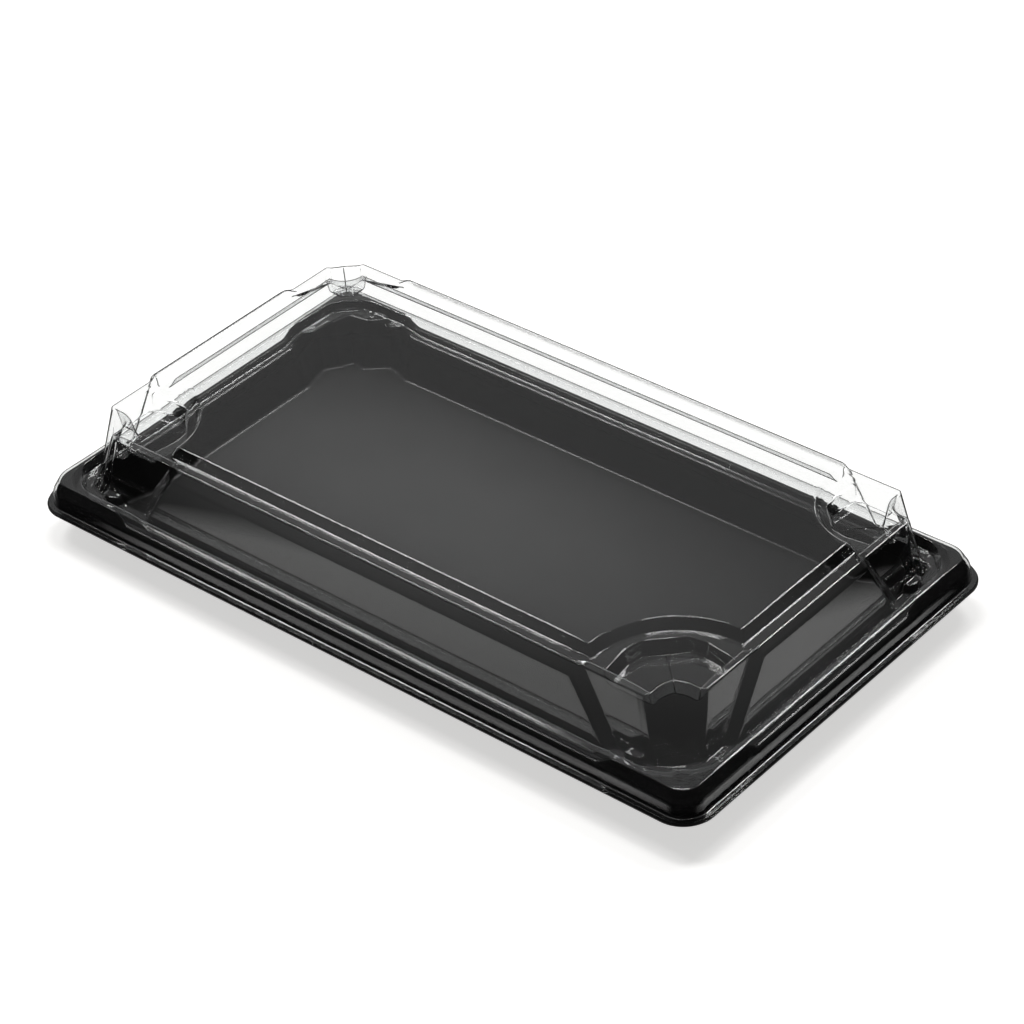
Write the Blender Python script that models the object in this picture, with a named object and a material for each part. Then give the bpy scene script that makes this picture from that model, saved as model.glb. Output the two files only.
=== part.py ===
"""A shallow black sushi tray closed with a clear press-on lid, both thermoformed sheet.

Lengths in the named sizes are millimetres. Corner sizes are insets measured inward from the
rim corner: u along the long side, v along the short side.
"""
import math

import bmesh
import bpy
import numpy as np

MM = 0.001

# Rim rectangle, the outer top edge of the lid rim.
RIM_X = 115.7
RIM_Y = 63.4

# Tray heights and offsets inward from the rim rectangle.
TRAY_SHEET = 0.5
TRAY_FLOOR_Z = 0.5
TRAY_FLANGE_Z = 10.0
TRAY_FLANGE_OUT = -4.3
TRAY_SKIRT_OUT = -1.55
TRAY_SHOULDER_OUT = -1.2
TRAY_SIDE_RIM_Z = 14.4
TRAY_SIDE_SHOULDER_Z = 13.0
TRAY_CORNER_RIM_Z = 17.4
TRAY_CORNER_SHOULDER_Z = 14.0
TRAY_LEDGE_Z = 14.3
TRAY_SIDE_LEDGE_Z = 12.6
TRAY_WALL_TOP_Z = 12.3

# Lid heights, top surface of the sheet.
LID_SHEET = 0.4
LID_FLANGE_Z = 10.7
LID_SHOULDER_Z = 14.35
LID_RIM_Z = 18.15
LID_SIDE_GROOVE_Z = 13.4
LID_CORNER_GROOVE_Z = 15.1
LID_FAN_FOOT_Z = 16.8
LID_NUB_Z = 17.6
LID_POCKET_Z = 30.1
LID_CHANNEL_Z = 34.5
LID_CORNER_RIDGE_Z = 36.2
LID_RIDGE_Z = 36.9
LID_PLATEAU_Z = 37.6
LID_CHAMFER_LONG_Z = 33.6
LID_CHAMFER_SHORT_Z = 35.3

# Lid offsets inward from the rim rectangle.
LID_FLANGE_OUT = -3.9
LID_SKIRT_OUT = -2.3
LID_SHOULDER_OUT = -2.0
LID_RIM_IN = 2.0
LID_GROOVE_OUTER = 2.6
LID_GROOVE_INNER = 4.2
LID_CHAMFER_FOOT = 5.4
LID_RIDGE_OUTER = 7.5
LID_RIDGE_INNER = 8.1
LID_RIDGE_FOOT = 8.9
LID_SLOPE_FOOT = 13.3
LID_PLATEAU_IN = 14.6

# Corner rounding of the outer rings.
RADIUS_FLANGE = 9.4
RADIUS_SKIRT = 7.6
RADIUS_SHOULDER = 7.2
RADIUS_RIM = 5.9
RADIUS_TRAY_RIM = 5.4

# Lid corners: signs of the corner, notch radius, end of the straight ridge, reach of the
# fluted foot (1 wide, 0 tight to the rim), distance of the wall jog from the rim corner
# along each side, and which sides carry a release nub.
LID_CORNERS = (
    {"sx": 1, "sy": -1, "notch": 28.2, "tip": 19.8, "foot": 1.0, "jog": (41.9, 39.8),
     "nub": (True, False)},
    {"sx": 1, "sy": 1, "notch": 22.5, "tip": 18.4, "foot": 0.0, "jog": (37.5, 41.0),
     "nub": (True, True)},
    {"sx": -1, "sy": 1, "notch": 7.0, "tip": 16.2, "foot": 0.0, "jog": (34.0, 33.5),
     "nub": (True, False)},
    {"sx": -1, "sy": -1, "notch": 24.5, "tip": 19.8, "foot": 0.0, "jog": (45.0, 38.0),
     "nub": (True, True)},
)
WIDE_ARCH = ((18.5, 13.0), (16.8, 16.8))
FLAT_ARCH = ((16.6, 13.2), (14.8, 14.8))
WIDE_NOTCH = 28.2
WIDE_TIP = 19.8
NUB_SHIFT = 2.5
NOTCH_FOOT_INSET = 1.6
SIDE_STATION = 58.0
JOG_WIDTH_TOP = 2.0
NUB_STATIONS = (24.9, 24.3, 21.4, 18.6, 18.0)
NUB_REACH = (0.0, 2.3, 3.0, 2.3, 0.0)
JOG_SLANT = ((11.2, 14.3), (13.6, 16.4))

# Stations at the foot of a lid corner: tight form, then the wide form.
CORNER_FEET = {
    "rim_in": (((12.2, 2.5), (9.4, 3.6), (7.6, 4.9), (6.3, 6.3)),
               ((14.6, 2.6), (11.4, 3.9), (9.2, 5.5), (7.8, 7.8))),
    "groove_out": (((12.4, 3.2), (9.9, 4.4), (8.3, 5.6), (7.1, 7.1)),
                   ((14.9, 3.3), (12.0, 4.6), (9.9, 6.2), (8.6, 8.6))),
    "groove_in": (((12.4, 7.0), (10.4, 7.6), (9.3, 8.0), (8.6, 8.6)),
                  ((16.2, 7.0), (13.2, 9.1), (11.9, 9.9), (11.0, 11.0))),
    "raised": (((12.4, 7.0), (10.9, 8.5), (10.0, 8.9), (9.4, 9.4)),
               ((16.2, 7.0), (13.9, 10.2), (12.7, 10.9), (11.9, 11.9))),
}

LID_RINGS = (
    "flange", "skirt", "shoulder", "rim_out", "rim_in", "groove_out", "groove_in", "nub_out",
    "nub_in", "chamfer", "ridge_out", "ridge_in", "ridge_foot", "pocket_floor", "pocket_top",
    "notch_foot", "notch_top",
)
# Fluted inside corners of the tray: long side, then short side.
TRAY_TEETH_TOP = (
    ((25.0, 2.1), (20.0, 2.1), (17.4, 4.5), (14.9, 6.8), (12.6, 7.2), (10.3, 7.6), (8.0, 8.0)),
    ((25.0, 2.1), (17.3, 2.1), (15.4, 4.5), (13.5, 6.8), (11.8, 7.2), (9.9, 7.6), (8.0, 8.0)),
)
TRAY_TEETH_FOOT = (
    ((58.0, 9.85), (31.5, 9.85), (27.6, 8.1), (23.0, 7.4), (20.0, 10.0), (17.0, 12.6),
     (15.4, 12.5), (13.8, 12.3), (12.2, 12.2)),
    ((58.0, 9.85), (30.0, 9.85), (25.5, 8.3), (20.3, 7.2), (18.0, 8.6), (16.0, 10.0),
     (14.8, 10.7), (13.5, 11.4), (12.2, 12.2)),
)
TRAY_RINGS = (
    "flange", "skirt", "shoulder", "rim_out", "rim_in", "ledge_out", "wall_top", "floor",
)


def between(a, b, t):
    """Point part of the way from a to b."""
    return tuple(p + (q - p) * t for p, q in zip(a, b))


def rounded(offset, radius, z, lengths, arc_steps):
    """Half of a rounded corner ring: straight stations, then the arc to the diagonal."""
    points = [(length, offset, z) for length in lengths]
    for step in range(arc_steps + 1):
        angle = math.radians(45.0 * step / arc_steps)
        u = offset + radius * (1.0 - math.sin(angle))
        v = offset + radius * (1.0 - math.cos(angle))
        points.append((u, v, z))
    return points


def corner_feet(name, reach):
    """Stations at the foot of a lid corner, between its tight and its wide form."""
    tight, wide = CORNER_FEET[name]
    return [between(a, b, reach) for a, b in zip(tight, wide)]


def lid_half(corner, side):
    """Rings of half a lid corner, from the side's middle part to the diagonal."""
    size = corner["notch"] / WIDE_NOTCH
    tip = corner["tip"]
    fan = tip / WIDE_TIP
    reach = corner["foot"]
    jog = corner["jog"][side]
    nub = corner["nub"][side]
    nub_at = [u - NUB_SHIFT * (1.0 - reach) for u in NUB_STATIONS]
    chamfer_z = (LID_CHAMFER_LONG_Z, LID_CHAMFER_SHORT_Z)[side]
    slant = JOG_SLANT[0] if nub else JOG_SLANT[1]
    foot_in = max(jog - slant[1], nub_at[0] + 1.7 if nub else 22.0)
    foot_out = max(jog - slant[0], foot_in + 2.6)
    last = nub_at if nub else [foot_in - 0.9, foot_in - 1.8, 20.0, 18.6, 18.0]
    feet = [SIDE_STATION, max(foot_out + 2.5, 33.0), foot_out, foot_in]
    feet += [foot_in + (last[0] - foot_in) * t for t in (0.35, 0.7)]
    feet += list(last)
    rings = {
        "flange": rounded(LID_FLANGE_OUT, RADIUS_FLANGE, LID_FLANGE_Z, feet, 3),
        "skirt": rounded(LID_SKIRT_OUT, RADIUS_SKIRT, LID_FLANGE_Z, feet, 3),
        "shoulder": rounded(LID_SHOULDER_OUT, RADIUS_SHOULDER, LID_SHOULDER_Z, feet, 3),
        "rim_out": rounded(0.0, RADIUS_RIM, LID_RIM_Z, feet, 3),
    }
    inner = [(u, LID_RIM_IN if k < 3 else LID_RIM_IN + 0.3) for k, u in enumerate(feet)]
    inner += corner_feet("rim_in", reach)
    outer = [(u, LID_GROOVE_OUTER if k < 3 else LID_GROOVE_OUTER + 0.3)
             for k, u in enumerate(feet)]
    outer += corner_feet("groove_out", reach)
    rings["rim_in"] = [(u, v, LID_RIM_Z) for u, v in inner]
    rings["groove_out"] = [
        (u, v, LID_SIDE_GROOVE_Z if k < 2 else LID_CORNER_GROOVE_Z)
        for k, (u, v) in enumerate(outer)
    ]
    # Top edge of the wall, then the wall foot below it.
    before = jog + 3.0
    tops = [(SIDE_STATION, LID_CHAMFER_FOOT), (before, LID_CHAMFER_FOOT), (jog, LID_CHAMFER_FOOT)]
    pocket_end = LID_PLATEAU_IN + 20.3 * size
    corner_tops = [jog - JOG_WIDTH_TOP, pocket_end, pocket_end - 0.7]
    corner_tops += [tip + (pocket_end - 0.7 - tip) * t for t in (0.8, 0.65, 0.45, 0.25, 0.12)]
    corner_tops += [tip]
    bow = FLAT_ARCH if corner["notch"] < 10.0 else WIDE_ARCH
    arch = [(tip - 1.2, 9.6)] + [(u * fan, v * fan) for u, v in bow]
    fan_top = [(u, v, LID_CORNER_RIDGE_Z) for u, v in arch]
    chamfer = [(u, v, chamfer_z) for u, v in tops]
    chamfer += [(u, 7.9, LID_CORNER_RIDGE_Z) for u in corner_tops]
    rings["chamfer"] = chamfer + fan_top
    ridge = [(u, LID_RIDGE_OUTER, LID_RIDGE_Z) for u in (SIDE_STATION, before, jog)]
    rings["ridge_out"] = ridge + rings["chamfer"][3:]
    ridge = [(u, LID_RIDGE_INNER, LID_RIDGE_Z) for u in (SIDE_STATION, before, jog - 0.4)]
    widths = [2.8] * 5 + [2.7, 2.6, 2.4, 2.2]
    ridge += [(u, 7.9 + w, LID_CORNER_RIDGE_Z) for u, w in zip(corner_tops, widths)]
    rings["ridge_in"] = ridge + [(u + 0.7, v + 1.2, LID_CORNER_RIDGE_Z) for u, v in arch]
    foot = [(u, LID_RIDGE_FOOT, LID_CHANNEL_Z) for u in (SIDE_STATION, before, jog - 0.8)]
    foot += [(u, 11.2, LID_CHANNEL_Z) for u in corner_tops[:2]]
    near = tip + 1.0
    last = corner_tops[2]
    foot += [(near + (last - near) * t, 11.8, LID_POCKET_Z)
             for t in (1, 0.8, 0.65, 0.45, 0.25, 0.12, 0.0)]
    foot += [(u + 1.4, v + 2.4, LID_POCKET_Z) for u, v in arch]
    rings["ridge_foot"] = foot
    # Wall foot: mid panel, slanting jog strip, corner panel, then the foot of the fan.
    wall = [(feet[0], LID_GROOVE_INNER, LID_SIDE_GROOVE_Z),
            (feet[1], LID_GROOVE_INNER, LID_SIDE_GROOVE_Z),
            (feet[2], LID_GROOVE_INNER + 0.1, LID_CORNER_GROOVE_Z)]
    wall += [(u, 6.9, LID_CORNER_GROOVE_Z) for u in feet[3:]]
    wall += [(u, v, LID_CORNER_GROOVE_Z) for u, v in corner_feet("groove_in", reach)]
    raised = wall[:12] + [(u, v, LID_FAN_FOOT_Z) for u, v in corner_feet("raised", reach)[1:]]
    rings["groove_in"] = list(wall)
    rings["nub_out"] = list(raised)
    rings["nub_in"] = list(raised)
    if nub:
        rise = (LID_NUB_Z - LID_CORNER_GROOVE_Z) / (LID_CORNER_RIDGE_Z - LID_CORNER_GROOVE_Z)
        for k, (u, out) in enumerate(zip(nub_at, NUB_REACH), start=6):
            if out > 0.0:
                rings["groove_in"][k] = (u, 6.9 - out, LID_CORNER_GROOVE_Z)
                rings["nub_out"][k] = (u, 7.3 - out, LID_NUB_Z)
                rings["nub_in"][k] = (u, 6.9 + rise, LID_NUB_Z)
    # Pocket outline and the arc-shaped notch in the raised plateau.
    top = [(20.3, -3.4), (21.6, 6.4), (20.7, 11.9), (16.2, 16.2)]
    top = [(LID_PLATEAU_IN + size * u, LID_PLATEAU_IN + size * v) for u, v in top]
    top[0] = (pocket_end, 11.2)
    spots = [(0, 0.0), (0, 0.25), (0, 0.5), (0, 0.75), (1, 0.0), (1, 0.5), (2, 0.0), (2, 0.33),
             (2, 0.67), (2, 1.0)]
    edge = [between(top[k], top[k + 1], t) for k, t in spots]
    centre = LID_PLATEAU_IN
    floor = []
    for k, (u, v) in enumerate(edge):
        shrink = 0.8 / math.hypot(u - centre, v - centre)
        floor.append((u + (centre - u) * shrink, max(v + (centre - v) * shrink, 11.8)))
    floor[0] = (pocket_end - 0.7, 11.8)
    rings["pocket_top"] = foot[:5] + [(u, v, LID_CHANNEL_Z) for u, v in edge]
    rings["pocket_floor"] = foot[:5] + [(u, v, LID_POCKET_Z) for u, v in floor]
    for name, inset, z in (("notch_foot", LID_SLOPE_FOOT, LID_CHANNEL_Z),
                           ("notch_top", LID_PLATEAU_IN, LID_PLATEAU_Z)):
        radius = corner["notch"] - (NOTCH_FOOT_INSET if name == "notch_foot" else 0.0)
        drop = math.asin((centre - inset) / radius)
        ring = [(SIDE_STATION, inset, z), (centre + radius + 3.0, inset, z)]
        for step in range(13):
            angle = -drop + (math.radians(45.0) + drop) * step / 12
            ring.append((centre + radius * math.cos(angle), centre + radius * math.sin(angle), z))
        rings[name] = ring
    return rings


def tray_half(corner, side):
    """Rings of half a tray corner, from the side's middle part to the diagonal."""
    feet = (58.0, 29.5, 25.0, 20.0, 14.5)
    rings = {
        "flange": rounded(TRAY_FLANGE_OUT, RADIUS_FLANGE + 0.4, TRAY_FLANGE_Z, feet, 3),
        "skirt": rounded(TRAY_SKIRT_OUT, RADIUS_SKIRT - 0.7, TRAY_FLANGE_Z, feet, 3),
        "shoulder": rounded(TRAY_SHOULDER_OUT, RADIUS_SHOULDER - 0.7, TRAY_CORNER_SHOULDER_Z, feet, 3),
        "rim_out": rounded(0.46, RADIUS_TRAY_RIM, TRAY_CORNER_RIM_Z, feet, 3),
    }
    for k in (0, 1):
        rings["shoulder"][k] = (feet[k], TRAY_SHOULDER_OUT, TRAY_SIDE_SHOULDER_Z)
        rings["rim_out"][k] = (feet[k], 0.2, TRAY_SIDE_RIM_Z)
    low = [(u, 1.6, TRAY_SIDE_RIM_Z) for u in feet[:2]]
    flat = [(25.0, 1.3), (20.0, 1.3), (14.5, 1.3), (10.6, 1.5), (8.2, 1.9), (6.2, 2.8), (4.3, 4.3)]
    rings["rim_in"] = low + [(u, v, TRAY_CORNER_RIM_Z) for u, v in flat]
    low = [(u, 1.95, TRAY_SIDE_LEDGE_Z) for u in feet[:2]]
    flat = [(25.0, 2.1), (20.0, 2.1), (14.6, 2.1), (11.0, 2.3), (8.6, 2.7), (6.8, 3.6), (5.0, 5.0)]
    rings["ledge_out"] = low + [(u, v, TRAY_LEDGE_Z) for u, v in flat]
    low = [(u, 4.3, TRAY_WALL_TOP_Z) for u in feet[:2]]
    teeth = TRAY_TEETH_TOP[side]
    rings["wall_top"] = low + [(u, v, TRAY_LEDGE_Z) for u, v in teeth]
    rings["floor"] = [(u, v, TRAY_FLOOR_Z) for u, v in TRAY_TEETH_FOOT[side]]
    return rings


def corner_rings(half, corner):
    """Full corner from the long side to the short side."""
    long_side = half(corner, 0)
    short_side = half(corner, 1)
    rings = {}
    for name, points in long_side.items():
        other = [(v, u, z) for u, v, z in reversed(short_side[name][:-1])]
        rings[name] = points + other
    return rings


def full_rings(half, names, corners):
    """Closed rings round the whole object, counterclockwise seen from above."""
    rings = {name: [] for name in names}
    for corner in corners:
        local = corner_rings(half, corner)
        sx, sy = corner["sx"], corner["sy"]
        for name in names:
            points = local[name] if sx * sy < 0 else list(reversed(local[name]))
            rings[name] += [(sx * (RIM_X - u), sy * (RIM_Y - v), z) for u, v, z in points]
    return [rings[name] for name in names]


def sheet_mesh(name, rings):
    """Open sheet lofted through the rings and closed over the last one."""
    vertices = []
    index = {}

    def add(point):
        key = tuple(round(value, 4) for value in point)
        if key not in index:
            index[key] = len(vertices)
            vertices.append(tuple(value * MM for value in point))
        return index[key]

    loops = [[add(point) for point in ring] for ring in rings]
    faces = []
    for outer, inner in zip(loops, loops[1:]):
        for k in range(len(outer)):
            following = (k + 1) % len(outer)
            quad = [outer[k], outer[following], inner[following], inner[k]]
            face = [v for i, v in enumerate(quad) if v != quad[i - 1]]
            if len(set(face)) == len(face) and len(face) > 2:
                faces.append(face)
    last = loops[-1]
    faces.append([v for i, v in enumerate(last) if v != last[i - 1]])
    mesh = bpy.data.meshes.new(name)
    mesh.from_pydata(vertices, [], faces)
    return mesh


def inner_point(vertex, thickness):
    """Point under the sheet that lies one thickness from every face round the vertex."""
    normals = np.array([tuple(face.normal) for face in vertex.link_faces])
    weights = np.array([loop.calc_angle() for loop in vertex.link_loops])
    matrix = (normals * weights[:, None]).T @ normals + 0.004 * np.eye(3)
    push = np.linalg.solve(matrix, -thickness * (normals * weights[:, None]).sum(axis=0))
    length = np.linalg.norm(push)
    if length > 1.8 * thickness:
        push *= 1.8 * thickness / length
    return np.array(vertex.co) + push


def thicken(mesh, thickness):
    """Closed shell: the open sheet, its offset copy and the strip that joins their edges."""
    bm = bmesh.new()
    bm.from_mesh(mesh)
    bmesh.ops.dissolve_limit(
        bm, angle_limit=math.radians(0.3), verts=bm.verts, edges=bm.edges
    )
    bm.normal_update()
    bm.verts.index_update()
    outer = [tuple(vertex.co) for vertex in bm.verts]
    inner = [inner_point(vertex, thickness) for vertex in bm.verts]
    count = len(outer)
    faces = []
    for face in bm.faces:
        loop = [vertex.index for vertex in face.verts]
        faces.append(loop)
        faces.append([index + count for index in reversed(loop)])
    for edge in bm.edges:
        if edge.is_boundary:
            a, b = (loop_vertex.index for loop_vertex in edge.verts)
            loop = edge.link_loops[0]
            if loop.vert.index != a:
                a, b = b, a
            faces.append([b, a, a + count, b + count])
    bm.free()
    points = outer + [tuple(point) for point in inner]
    points = [(x, y, 0.0 if z < 0.1 * MM else z) for x, y, z in points]
    shell = bpy.data.meshes.new(mesh.name)
    shell.from_pydata(points, [], faces)
    shell.polygons.foreach_set("use_smooth", [True] * len(shell.polygons))
    shell.set_sharp_from_angle(angle=math.radians(20.0))
    return shell


def material(name, colour, roughness, alpha):
    """Plain plastic material."""
    made = bpy.data.materials.new(name)
    made.use_nodes = True
    shader = made.node_tree.nodes["Principled BSDF"]
    shader.inputs["Base Color"].default_value = (*colour, 1.0)
    shader.inputs["Roughness"].default_value = roughness
    shader.inputs["Metallic"].default_value = 0.0
    shader.inputs["Alpha"].default_value = alpha
    return made


def sheet_object(name, rings, thickness, made):
    """Node made of one sheet with real thickness below its top surface."""
    shell = thicken(sheet_mesh(name, rings), thickness * MM)
    shell.name = name
    shell.materials.append(made)
    obj = bpy.data.objects.new(name, shell)
    bpy.context.scene.collection.objects.link(obj)
    return obj


def main():
    for obj in list(bpy.data.objects):
        bpy.data.objects.remove(obj, do_unlink=True)
    black = material("Black tray plastic", (0.012, 0.012, 0.013), 0.3, 1.0)
    clear = material("Clear lid plastic", (0.93, 0.95, 0.96), 0.08, 0.25)
    sheet_object("tray", full_rings(tray_half, TRAY_RINGS, LID_CORNERS), TRAY_SHEET, black)
    sheet_object("lid", full_rings(lid_half, LID_RINGS, LID_CORNERS), LID_SHEET, clear)


main()
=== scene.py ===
"""Takeaway sushi tray: a shallow black thermoformed tray closed with a clear press-on lid.

Named sizes are millimetres. Corner sizes are insets measured inward from the corner of the
rim rectangle: u along the long side, v along the short side.
"""
import math

import bmesh
import bpy
import numpy as np
from mathutils import Matrix, Vector


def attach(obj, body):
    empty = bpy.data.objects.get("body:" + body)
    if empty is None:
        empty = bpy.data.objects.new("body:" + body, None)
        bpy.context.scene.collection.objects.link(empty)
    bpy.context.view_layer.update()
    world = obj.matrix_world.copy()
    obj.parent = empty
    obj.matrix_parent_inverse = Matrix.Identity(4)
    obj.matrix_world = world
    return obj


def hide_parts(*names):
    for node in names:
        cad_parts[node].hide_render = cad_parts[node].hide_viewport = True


bl_info = {
    "name": "Takeaway Sushi Tray",
    "version": (1, 0, 0),
    "blender": (4, 5, 0),
    "location": "3D View > Sidebar > Sushi Tray",
    "description": "Builds a black thermoformed tray, its clear lid and a plain studio stage",
    "category": "Object",
}

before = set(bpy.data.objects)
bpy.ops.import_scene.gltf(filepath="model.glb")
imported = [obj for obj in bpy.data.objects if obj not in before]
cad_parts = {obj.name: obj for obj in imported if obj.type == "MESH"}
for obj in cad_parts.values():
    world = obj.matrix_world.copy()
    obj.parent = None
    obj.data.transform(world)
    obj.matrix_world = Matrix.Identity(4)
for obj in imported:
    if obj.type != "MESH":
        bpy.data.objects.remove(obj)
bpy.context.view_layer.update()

MM = 0.001

# Rim rectangle, the outer top edge of the lid rim.
RIM_X = 115.7
RIM_Y = 63.4

# Tray heights and offsets inward from the rim rectangle.
TRAY_FLOOR_Z = 0.5
TRAY_FLANGE_Z = 10.0
TRAY_FLANGE_OUT = -4.3
TRAY_SKIRT_OUT = -1.55
TRAY_SHOULDER_OUT = -1.2
TRAY_SIDE_RIM_Z = 14.4
TRAY_SIDE_SHOULDER_Z = 13.0
TRAY_CORNER_RIM_Z = 17.4
TRAY_CORNER_SHOULDER_Z = 14.0
TRAY_LEDGE_Z = 14.3
TRAY_SIDE_LEDGE_Z = 12.6
TRAY_WALL_TOP_Z = 12.3

# Lid heights, top surface of the sheet.
LID_FLANGE_Z = 10.7
LID_SHOULDER_Z = 14.35
LID_RIM_Z = 18.15
LID_SIDE_GROOVE_Z = 13.4
LID_CORNER_GROOVE_Z = 15.1
LID_FAN_FOOT_Z = 16.8
LID_NUB_Z = 17.6
LID_POCKET_Z = 30.1
LID_CHANNEL_Z = 34.5
LID_CORNER_RIDGE_Z = 36.2
LID_RIDGE_Z = 36.9
LID_PLATEAU_Z = 37.6
LID_CHAMFER_LONG_Z = 33.6
LID_CHAMFER_SHORT_Z = 35.3

# Lid offsets inward from the rim rectangle.
LID_FLANGE_OUT = -3.9
LID_SKIRT_OUT = -2.3
LID_SHOULDER_OUT = -2.0
LID_RIM_IN = 2.0
LID_GROOVE_OUTER = 2.6
LID_GROOVE_INNER = 4.2
LID_CHAMFER_FOOT = 5.4
LID_RIDGE_OUTER = 7.5
LID_RIDGE_INNER = 8.1
LID_RIDGE_FOOT = 8.9
LID_SLOPE_FOOT = 13.3
LID_PLATEAU_IN = 14.6

# Corner rounding of the outer rings.
RADIUS_FLANGE = 9.4
RADIUS_SKIRT = 7.6
RADIUS_SHOULDER = 7.2
RADIUS_RIM = 5.9
RADIUS_TRAY_RIM = 5.4
ARC_STEPS = 9
NOTCH_STEPS = 18

# Lid corners: signs of the corner, notch radius, end of the straight ridge, reach of the
# fluted foot (1 wide, 0 tight to the rim), distance of the wall jog from the rim corner
# along each side, and which sides carry a release nub.
LID_CORNERS = (
    {"sx": 1, "sy": -1, "notch": 28.2, "tip": 19.8, "foot": 1.0, "jog": (41.9, 39.8),
     "nub": (True, False)},
    {"sx": 1, "sy": 1, "notch": 22.5, "tip": 18.4, "foot": 0.0, "jog": (37.5, 41.0),
     "nub": (True, True)},
    {"sx": -1, "sy": 1, "notch": 7.0, "tip": 16.2, "foot": 0.0, "jog": (34.0, 33.5),
     "nub": (True, False)},
    {"sx": -1, "sy": -1, "notch": 24.5, "tip": 19.8, "foot": 0.0, "jog": (45.0, 38.0),
     "nub": (True, True)},
)
WIDE_ARCH = ((18.5, 13.0), (16.8, 16.8))
FLAT_ARCH = ((16.6, 13.2), (14.8, 14.8))
WIDE_NOTCH = 28.2
WIDE_TIP = 19.8
NUB_SHIFT = 2.5
NOTCH_FOOT_INSET = 1.6
INWARD = 2.5
SIDE_STATION = 58.0
JOG_WIDTH_TOP = 2.0
NUB_STATIONS = (24.9, 24.3, 21.4, 18.6, 18.0)
NUB_REACH = (0.0, 2.3, 3.0, 2.3, 0.0)
JOG_SLANT = ((11.2, 14.3), (13.6, 16.4))

# Stations at the foot of a lid corner: tight form, then the wide form.
CORNER_FEET = {
    "rim_in": (((12.2, 2.5), (9.4, 3.6), (7.6, 4.9), (6.3, 6.3)),
               ((14.6, 2.6), (11.4, 3.9), (9.2, 5.5), (7.8, 7.8))),
    "groove_out": (((12.4, 3.2), (9.9, 4.4), (8.3, 5.6), (7.1, 7.1)),
                   ((14.9, 3.3), (12.0, 4.6), (9.9, 6.2), (8.6, 8.6))),
    "groove_in": (((12.4, 7.0), (10.4, 7.6), (9.3, 8.0), (8.6, 8.6)),
                  ((16.2, 7.0), (13.2, 9.1), (11.9, 9.9), (11.0, 11.0))),
    "raised": (((12.4, 7.0), (10.9, 8.5), (10.0, 8.9), (9.4, 9.4)),
               ((16.2, 7.0), (13.9, 10.2), (12.7, 10.9), (11.9, 11.9))),
}

# Rings of the lid sheet from the flange inward, each with the reach of its fillet.
LID_RINGS = {
    "flange": 0.0, "skirt": 0.5, "shoulder": 0.7, "rim_out": 0.7, "rim_in": 0.6,
    "groove_out": 0.6, "groove_in": 0.7, "nub_out": 0.6, "nub_in": 0.6, "chamfer": 0.8,
    "ridge_out": 0.7, "ridge_in": 0.6, "ridge_foot": 0.8, "pocket_floor": 0.7,
    "pocket_top": 0.7, "notch_foot": 0.9, "notch_top": 0.8,
    "plateau": 0.0,
}

# Fluted inside corners of the tray: long side, then short side.
TRAY_TEETH_TOP = (
    ((25.0, 2.1), (20.0, 2.1), (17.4, 4.5), (14.9, 6.8), (12.6, 7.2), (10.3, 7.6), (8.0, 8.0)),
    ((25.0, 2.1), (17.3, 2.1), (15.4, 4.5), (13.5, 6.8), (11.8, 7.2), (9.9, 7.6), (8.0, 8.0)),
)
TRAY_TEETH_FOOT = (
    ((58.0, 9.85), (31.5, 9.85), (27.6, 8.1), (23.0, 7.4), (20.0, 10.0), (17.0, 12.6),
     (15.4, 12.5), (13.8, 12.3), (12.2, 12.2)),
    ((58.0, 9.85), (30.0, 9.85), (25.5, 8.3), (20.3, 7.2), (18.0, 8.6), (16.0, 10.0),
     (14.8, 10.7), (13.5, 11.4), (12.2, 12.2)),
)
TRAY_RINGS = {
    "flange": 0.0, "skirt": 0.9, "shoulder": 1.0, "rim_out": 0.9, "rim_in": 0.7,
    "ledge_out": 0.6, "wall_top": 1.2, "floor": 1.2, "floor_in": 0.0,
}

# Camera: aim point at the flange, sideways and upward offset from it, and distance.
AIM = (0.0, 0.0, 9.5)
AIM_SIDE = -3.04
AIM_RISE = 7.76
CAMERA_AWAY = 998.9

# Studio: direction of the lighter sky, and each softbox's azimuth, elevation, distance in
# metres, width and height in metres, and share of the key power.
SKY_AZIMUTH = 222.0
SKY_ELEVATION = 40.0
LIT_REACH = (165.0, 110.0)
SOFTBOXES = (
    ("Left softbox", 275.0, 56.0, 1.3, (0.52, 0.28), 1.0),
    ("Far softbox", 180.0, 53.0, 1.3, (0.54, 0.26), 0.95),
    ("Overhead softbox", 222.0, 76.0, 1.3, (0.45, 0.26), 0.8),
)

# Painted light on the tray's floor: a lighter painted sheen at its middle that fades to painted shade
# near the walls; its middle, and how far it reaches each way.
PAINTED_LIGHT_MIDDLE = (-35.0, 10.0, 0.0)
PAINTED_LIGHT_REACH = (150.0, 62.0, 100.0)

# Fillets: points added at each bend, and the bend in degrees above which one is rounded.
FILLET_STEPS = 3
BEND_LIMIT = 11.0
STATION_REACH = 0.9


def between(a, b, t):
    """Point part of the way from a to b."""
    return tuple(p + (q - p) * t for p, q in zip(a, b))


def rounded(offset, radius, z, lengths):
    """Half of a rounded corner ring: straight stations, then the arc to the diagonal."""
    points = [(length, offset, z) for length in lengths]
    for step in range(ARC_STEPS + 1):
        angle = math.radians(45.0 * step / ARC_STEPS)
        u = offset + radius * (1.0 - math.sin(angle))
        v = offset + radius * (1.0 - math.cos(angle))
        points.append((u, v, z))
    return points


def curve_through(points, parts):
    """Smooth curve through the points, with every interval in this many parts."""
    path = [np.array(point, float) for point in points]
    curve = []
    for k in range(1, len(path) - 2):
        a, b, c, d = path[k - 1:k + 3]
        for step in range(parts):
            t = step / parts
            curve.append(tuple(0.5 * (
                2 * b + (c - a) * t + (2 * a - 5 * b + 4 * c - d) * t ** 2
                + (3 * b - a - 3 * c + d) * t ** 3
            )))
    curve.append(tuple(path[-2]))
    return curve


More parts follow.
